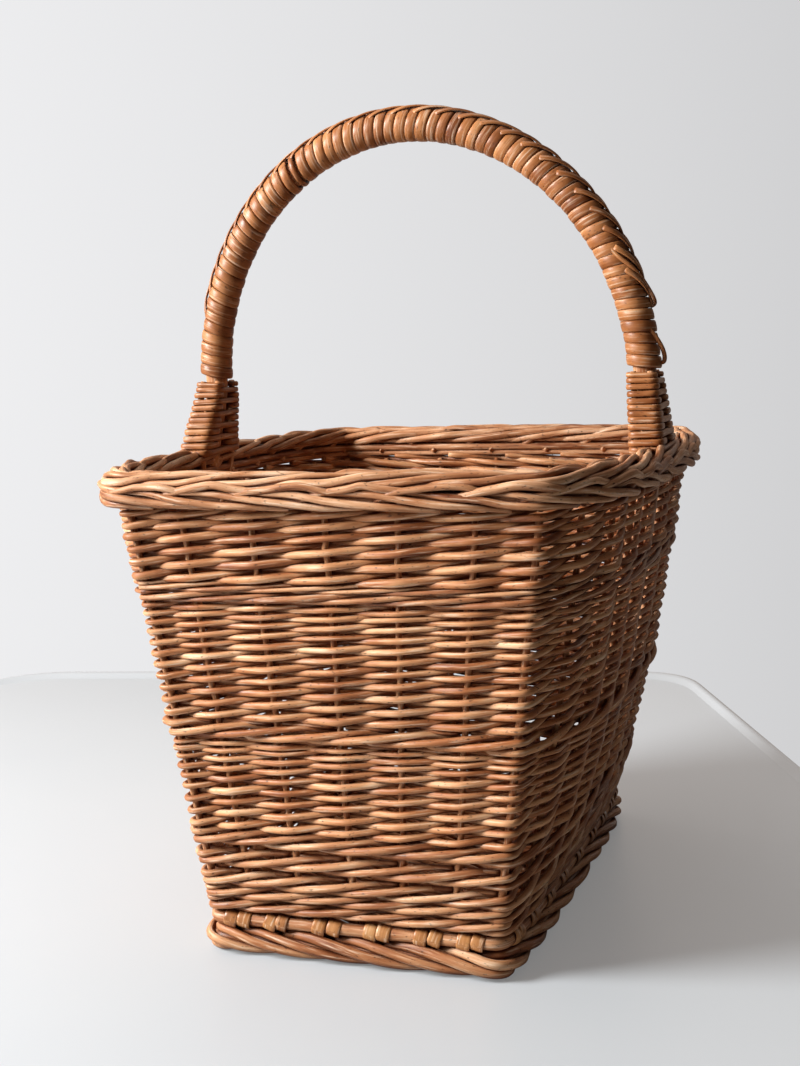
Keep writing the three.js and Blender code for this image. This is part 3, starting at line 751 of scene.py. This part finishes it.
def leg_x(side, z):
    """Where the bow's centreline crosses height z on the right (side 1) or the left (side -1) leg."""
    z = np.asarray(z, float)
    t = np.maximum((np.minimum(z, TOP_Z) - BASE_Z) / (TOP_Z - BASE_Z), 0)
    bulge = BULGE_BASE + (BULGE_TOP - BULGE_BASE) * (1 - (1 - t) ** BULGE_RISE)
    at_wall = BASE_X + (TOP_X - BASE_X) * t + bulge
    lift = np.maximum(z - TOP_Z, 0) / (SHOULDER_Z - TOP_Z)
    flare = smoothstep(lift, 0, 0.25) * (1 - smoothstep(lift, 0.25, 1)) * (LEFT_FLARE if side < 0 else 0)
    return side * (at_wall + (SHOULDER_X - at_wall) * lift + flare)


def bow_line(start_z):
    """The bow's centreline from the right leg over the top to the left one, at even steps of about 1 mm."""
    z = np.linspace(start_z, SHOULDER_Z, 60, endpoint=False) if start_z < SHOULDER_Z else np.zeros(0)
    low = 0.0 if start_z < SHOULDER_Z else math.asin((start_z - SHOULDER_Z) / (BOW_TOP_Z - SHOULDER_Z))
    a = np.linspace(low, math.pi - low, 400)
    arch = np.stack([SHOULDER_X * np.cos(a) + BOW_LEAN * np.sin(a),
                     SHOULDER_Z + (BOW_TOP_Z - SHOULDER_Z) * np.sin(a)], -1)
    right = np.stack([leg_x(1, z), z], -1)
    left = np.stack([leg_x(-1, z), z], -1)[::-1]
    line = np.vstack([right, arch, left])
    along = np.concatenate([[0], np.cumsum(np.linalg.norm(np.diff(line, axis=0), axis=1))])
    even = np.arange(0, along[-1], 1.0)
    flat = np.stack([np.interp(even, along, line[:, k]) for k in range(2)], -1)
    return np.stack([flat[:, 0], np.zeros(len(flat)), flat[:, 1]], -1)


class Bow:
    """Positions and frames along the bow, by length from the right end of the wrapping."""

    def __init__(self, start_z):
        self.line = bow_line(start_z)
        tangent = unit(np.gradient(self.line, axis=0))
        self.outward = np.stack([tangent[:, 2], np.zeros(len(tangent)), -tangent[:, 0]], -1)
        self.length = len(self.line) - 1.0

    def at(self, s, angle, r):
        """A point at length s, turned by angle from the outer face towards the front, at radius r, and its
        direction away from the bow's axis."""
        place = np.arange(len(self.line))
        pick = lambda a: np.stack([np.interp(s, place, a[:, k]) for k in range(3)], -1)
        out = unit(pick(self.outward))
        away = out * np.cos(angle)[..., None] + np.array([0, -1.0, 0]) * np.sin(angle)[..., None]
        return pick(self.line) + away * np.asarray(r)[..., None], away


BOW_FOOT_Z = 196  # the bow's two legs go down inside the wall to here
BOW_R, BOW_SWELL = 6.6, 0.9  # its radius at the gussets, and how much thicker it is under the wrapping
TONGUE_HALF_THICKNESS, TONGUE_HALF_WIDTH = 2.3, 5.6  # its ends are cut to flat tongues inside the wall
WRAP_FOOT_Z = 315.5
WRAP_PITCH = 6.6
WRAP_MID_R, WRAP_HALF_THICKNESS = 8.85, 1.15
WRAP_STEPS = 26  # points round one turn of the wrapping
SLIPPED_TURNS = {44: 0.5, 45: 0.85}  # turns that slipped and left a dark gap, and how wide they still are
RIDGE_SPREAD = ([130, 235], [66, 41])  # how many degrees from the outer face the strips start, by length
RIDGE_FROM, RIDGE_TO = 56, 26  # millimetres without strips at the right and the left end of the wrapping
RIDGE_REACH = 3.4  # how far a strip runs along the bow, in turns of the wrapping
RIDGE_R = 10.7  # from the bow's centreline to a strip
# Strips that stand loose of the right leg: [length, degrees from the outer face, radius]
LOOSE_LOOPS = [
    [[70, 80, 9.0], [63.5, 68, 9.9], [57, 48, 10.3], [49, 26, 10.9], [42, 13, 11.7], [36.5, 7, 12.5],
     [33.6, 3, 12.2], [32.6, 0, 10.6], [32.4, 0, 9.0]],
    [[22, 48, 8.8], [17.5, 32, 9.8], [13, 20, 11.0], [8.5, 11, 12.0], [4.5, 6, 12.3], [1.8, 3, 11.4],
     [1.2, 0, 9.2]],
]


def build_handle():
    core = Bundle()
    line = bow_line(BOW_FOOT_Z)
    z = line[:, 2]
    r = BOW_R + BOW_SWELL * smoothstep(z, 308, 334)
    roundness = smoothstep(z, 250, 267)
    thick = TONGUE_HALF_THICKNESS + (r - TONGUE_HALF_THICKNESS) * roundness
    wide = TONGUE_HALF_WIDTH + (r - TONGUE_HALF_WIDTH) * roundness
    core.sweep(line[::3], thick[::3], 16, up=(1, 0, 0.01), across=wide[::3], tone=0.6)
    core.build("handle_bow_rod", ROD, "willow_rod", "handle_bow")
    bow = Bow(WRAP_FOOT_Z)
    turns = int(bow.length / WRAP_PITCH)
    build_wrapping(bow, turns)
    build_ridge(bow, bow.length / turns)


def build_wrapping(bow, turns):
    """Flat cane wound round the bow, each turn a closed ring with a slight tilt."""
    wrap = Bundle()
    pitch = bow.length / turns
    places = np.arange(turns + 1) * pitch
    places[1:-1] += rng.normal(0, 0.22, turns - 1)
    angle = np.linspace(0, 2 * np.pi, WRAP_STEPS + 1)[:-1]
    tilt = -0.55 * pitch * np.cos(angle) * 0.5
    for k in range(turns):
        width = places[k + 1] - places[k]
        s = np.clip(places[k] + width / 2 + tilt, 0.5, bow.length - 0.5)
        path, away = bow.at(s, angle, np.full(WRAP_STEPS, WRAP_MID_R + rng.normal(0, 0.12)))
        half_width = width * 0.5 * SLIPPED_TURNS.get(k, 1)
        wrap.sweep(path, WRAP_HALF_THICKNESS, 12, loop=True, up=away[None], across=half_width, section=0.72)
    wrap.build("handle_wrap_cane", HANDLE_CANE, "golden_cane", "handle_wrap")


def build_ridge(bow, pitch):
    """Pairs of strips that cross over the outer face every two turns, and two loose loops."""
    ridge = Bundle()
    t = np.linspace(0, 1, 18)
    for s in np.arange(RIDGE_FROM, bow.length - RIDGE_TO, 2 * pitch):
        for hand in (1, -1):
            reach = (RIDGE_REACH + rng.normal(0, 0.15)) * pitch
            turn = hand * np.radians(np.interp(s, *RIDGE_SPREAD)) * (1 - t) ** 1.5
            lift = RIDGE_R + 0.2 * np.sin(np.pi * t) ** 0.8 + 0.2 * t
            lift = lift - 1.5 * (1 - t) ** 6 - 1.0 * t ** 6
            along = np.clip(s - reach * t + rng.normal(0, 0.2), 0, bow.length)
            path, away = bow.at(along, turn, lift)
            ridge.sweep(path[None], 0.7, up=away[None], across=1.9 * (1 - 0.3 * t)[None], section=0.8)
    for points in LOOSE_LOOPS:
        line = smooth_path(points, 6)
        path, away = bow.at(line[:, 0], np.radians(line[:, 1]), line[:, 2])
        ridge.sweep(path[None], 0.6, up=np.array([0, -1.0, 0]), across=1.3, section=0.8, tone=0.5)
    ridge.build("handle_ridge_strips", HANDLE_CANE, "golden_cane", "handle_ridge")


GUSSET_Z = (267.0, 314.5)  # its foot and its top, as the next two
GUSSET_HALF_Y = (25.0, 12.4)
GUSSET_HALF_X = (9.3, 8.0)
GUSSET_BANDS = 12
GUSSET_SLOT_Y = 6.9  # every other band is two loops, either side of the bow, from here outwards
LINER_FOOT_Z, LINER_TIP_Z = 238, 313
LINER_ASIDE = 5.0  # from a liner's place to each of its two rods


def liner_y(z):
    """How far a liner stands from the bow's plane at height z."""
    return np.interp(z, [230, 250, 267, 312.5], [18.5, 19.0, 21.0, 9.6])


def build_gussets():
    """The handle's two feet: pairs of liners that lean on the bow, and the fine rod woven round them."""
    for side, hand in ((1, "right"), (-1, "left")):
        for end, word in ((-1, "front"), (1, "back")):
            pair = Bundle()
            z = np.linspace(LINER_FOOT_Z, LINER_TIP_Z, 30)
            r = np.interp(z, [LINER_FOOT_Z, 262, LINER_TIP_Z], [1.3, 2.3, 1.9])
            for shift in (-1, 1):
                spread = LINER_ASIDE * smoothstep(z, 248, 266)
                path = np.stack([leg_x(side, z) + shift * spread, end * liner_y(z), z], -1)
                pair.sweep(path, r, 10, up=(1, 0, 0))
            pair.build(f"liner_{hand}_{word}_rods", ROD, "willow_rod", f"liner_{hand}_{word}")
        build_bands(side, hand)


def rounded_loop(half_x, low_y, high_y, corner, count):
    """A closed rounded rectangle as count points, anticlockwise."""
    corners = [(half_x, high_y, 0), (-half_x, high_y, 90), (-half_x, low_y, 180), (half_x, low_y, 270)]
    points = []
    for x, y, start in corners:
        cx, cy = x - math.copysign(corner, x), y - corner if y == high_y else y + corner
        for k in range(5):
            a = math.radians(start + 22.5 * k)
            points.append((cx + corner * math.cos(a), cy + corner * math.sin(a)))
    points = np.array(points + points[:1])
    along = np.concatenate([[0], np.cumsum(np.linalg.norm(np.diff(points, axis=0), axis=1))])
    even = np.linspace(0, along[-1], count, endpoint=False)
    return np.stack([np.interp(even, along, points[:, k]) for k in range(2)], -1)


def build_bands(side, hand):
    """A gusset's bands, from its foot up: whole loops and pairs of half loops in turn."""
    bands = Bundle()
    step = np.linspace(0, 1, GUSSET_BANDS)
    heights = GUSSET_Z[0] + 2.0 + (GUSSET_Z[1] - GUSSET_Z[0] - 5.6) * step * (1.12 - 0.12 * step)
    for k, z in enumerate(heights):
        x0 = float(leg_x(side, z))
        y_end = float(np.interp(z, GUSSET_Z, GUSSET_HALF_Y))
        half_x = float(np.interp(z, GUSSET_Z, GUSSET_HALF_X)) + rng.normal(0, 0.15)
        loops = [rounded_loop(half_x, -y_end, y_end, 3.6, 56)]
        if k % 2:
            loops = [rounded_loop(half_x, -y_end, -GUSSET_SLOT_Y, 3.2, 40),
                     rounded_loop(half_x, GUSSET_SLOT_Y, y_end, 3.2, 40)]
        for loop in loops:
            tilt = 0.9 * np.sin(np.arctan2(loop[:, 1], loop[:, 0]) + k) + rng.normal(0, 0.25)
            path = np.stack([x0 + loop[:, 0], loop[:, 1], z + tilt * 0.5], -1)
            centre = np.array([x0, loop[:, 1].mean(), z])
            away = path - centre
            away[:, 2] = 0
            tone = rng.uniform(0.3, 0.7)
            bands.sweep(path, 1.2, 10, loop=True, up=unit(away)[None], across=2.1 - 0.5 * step[k],
                        section=0.8, tone=tone)
    bands.build(f"gusset_{hand}_bands", LAPPING, "woven_willow", f"gusset_{hand}")


build_wall()
build_stakes()
build_foot()
build_base_stick()
build_floor()
build_border()
build_handle()
build_gussets()

# -------- floor, light and camera
# Brightness of the surroundings by direction: slope . direction + level, and no less than the least
ROOM_SLOPE, ROOM_LEVEL, ROOM_LEAST = (-0.30, 0.20, 0.0), 0.25, 0.04
BACKDROP_SLOPE, BACKDROP_LEVEL, BACKDROP_LEAST = (-0.50, 0.12, 0.0), 0.49, 0.42
WARM, COOL = (1.0, 0.80, 0.67), (0.985, 0.985, 1.0)
TABLE_GREYS = (0.402, 0.436, 0.466), (0.422, 0.454, 0.481)
TABLE_GLOW = 0.19  # only the camera sees it


def table_material():
    """Pale lacquer: a soft gloss, and a weak glow."""
    material = bpy.data.materials.new("pale_table")
    graph = Graph(material)
    grain = graph.noise(graph.add("TexCoord").outputs["Object"], 3.0)
    tint = graph.mix("MIX", graph.span(grain, 0.3, 0.7, 0.0, 1.0), *TABLE_GREYS)
    seen = graph.add("LightPath").outputs["Is Camera Ray"]
    graph.feed(graph.tree.nodes["Principled BSDF"], {
        "Base Color": tint, "Roughness": 0.4, "Emission Color": (1, 1, 1),
        "Emission Strength": graph.math("MULTIPLY", seen, TABLE_GLOW)})
    return material


def rounded_outline(corners, radius, steps=8):
    """The outline through the corners, in order, each one rounded off radius metres before and after it."""
    outline = []
    for before, corner, after in zip(corners[-1:] + corners[:-1], corners, corners[1:] + corners[:1]):
        start = corner + (before - corner).normalized() * radius
        end = corner + (after - corner).normalized() * radius
        for k in range(steps + 1):
            t = k / steps
            outline.append(start * (1 - t) ** 2 + corner * 2 * t * (1 - t) + end * t ** 2)
    return outline


# In metres: the table's corners, how far they are rounded, and the rings of its edge from the flat top
# outwards, each (how far in from the edge, height)
TABLE_CORNERS = (0.066, 0.594), (-0.60, 0.468), (-1.30, -2.2), (1.28, -2.2)
TABLE_ROUNDING = 0.055
TABLE_EDGE = [
    (0.020, -0.0006), (0.014, 0.0022), (0.009, 0.0030), (0.003, 0.0016), (0.0, -0.004), (0.0, -0.03),
]


def add_table():
    """A pale table top with rounded corners and a low raised lip."""
    corners = [Vector(p) for p in TABLE_CORNERS]
    middle = sum(corners, Vector((0, 0))) / 4
    outline = rounded_outline(corners, TABLE_ROUNDING)
    verts, faces = [], []
    for inset, height in TABLE_EDGE:
        verts += [(*(p + (middle - p).normalized() * inset * 1.3), height) for p in outline]
    n = len(outline)
    faces.append(tuple(range(n)))
    for ring in range(len(TABLE_EDGE) - 1):
        for k in range(n):
            a, b = ring * n + k, ring * n + (k + 1) % n
            faces.append((a, a + n, b + n, b))
    mesh = bpy.data.meshes.new("table_top")
    mesh.from_pydata(verts, [], faces)
    for face in mesh.polygons[1:]:
        face.use_smooth = True
    mesh.materials.append(table_material())
    table = bpy.data.objects.new("table_top", mesh)
    bpy.context.scene.collection.objects.link(table)


def add_light(name, place, target, size, power, color):
    """A round area light, size metres across, that faces the target."""
    lamp = bpy.data.lights.new(name, "AREA")
    lamp.shape = "DISK"
    lamp.size = size
    lamp.energy = power
    lamp.color = color
    holder = bpy.data.objects.new(name, lamp)
    holder.location = place
    holder.rotation_euler = (Vector(target) - Vector(place)).to_track_quat("-Z", "Y").to_euler()
    bpy.context.scene.collection.objects.link(holder)


def add_world():
    """A pale backdrop for the camera, and a dimmer, warmer room for everything else."""
    world = bpy.data.worlds.new("studio")
    graph = Graph(world)
    room = graph.tree.nodes["Background"]
    backdrop = graph.add("Background")
    direction = graph.add("TexCoord").outputs["Generated"]
    surroundings = ((room, WARM, ROOM_SLOPE, ROOM_LEVEL, ROOM_LEAST),
                    (backdrop, COOL, BACKDROP_SLOPE, BACKDROP_LEVEL, BACKDROP_LEAST))
    for shader, tint, slope, level, least in surroundings:
        dot = graph.add("VectorMath", operation="DOT_PRODUCT")
        graph.feed(dot, {0: direction, 1: slope})
        strength = graph.math("ADD", dot.outputs["Value"], level)
        graph.feed(shader, {"Strength": graph.math("MAXIMUM", strength, least), "Color": tint})
    seen = graph.add("LightPath").outputs["Is Camera Ray"]
    mix = graph.add("MixShader", {0: seen, 1: room.outputs[0], 2: backdrop.outputs[0]})
    graph.feed(graph.tree.nodes["World Output"], {"Surface": mix.outputs[0]})
    bpy.context.scene.world = world


CAMERA_PLACE = (0.29737, -0.89312, 0.34091)
CAMERA_YAW, CAMERA_PITCH, CAMERA_ROLL = 0.33841, 0.13042, -0.03425
CAMERA_LENS, CAMERA_SENSOR = 52.094634, 36


def add_camera():
    """Yaw turns the camera left from +Y, pitch tips it down and roll turns it about its axis, in radians."""
    yaw, pitch, roll = CAMERA_YAW, CAMERA_PITCH, CAMERA_ROLL
    forward = np.array([-math.sin(yaw) * math.cos(pitch), math.cos(yaw) * math.cos(pitch), -math.sin(pitch)])
    right = unit(np.cross(forward, [0, 0, 1.0]))
    up = np.cross(right, forward)
    turned_right = math.cos(roll) * right + math.sin(roll) * up
    turned_up = -math.sin(roll) * right + math.cos(roll) * up
    data = bpy.data.cameras.new("camera")
    data.lens = CAMERA_LENS
    data.sensor_width = CAMERA_SENSOR
    data.clip_start = 0.05
    data.clip_end = 30
    camera = bpy.data.objects.new("camera", data)
    matrix = np.eye(4)
    matrix[:3, 0], matrix[:3, 1], matrix[:3, 2] = turned_right, turned_up, -forward
    matrix[:3, 3] = CAMERA_PLACE
    camera.matrix_world = Matrix(matrix.tolist())
    bpy.context.scene.collection.objects.link(camera)
    bpy.context.scene.camera = camera


add_table()
add_light("key_window", (-1.35, -0.85, 0.95), (0, -0.05, 0.16), 0.8, 68, (1.0, 0.995, 0.985))
add_light("soft_top", (-0.2, 0.2, 1.9), (0, 0, 0.1), 1.2, 4, (0.96, 0.98, 1.0))
bpy.context.scene.view_settings.view_transform = "Standard"
add_world()
add_camera()
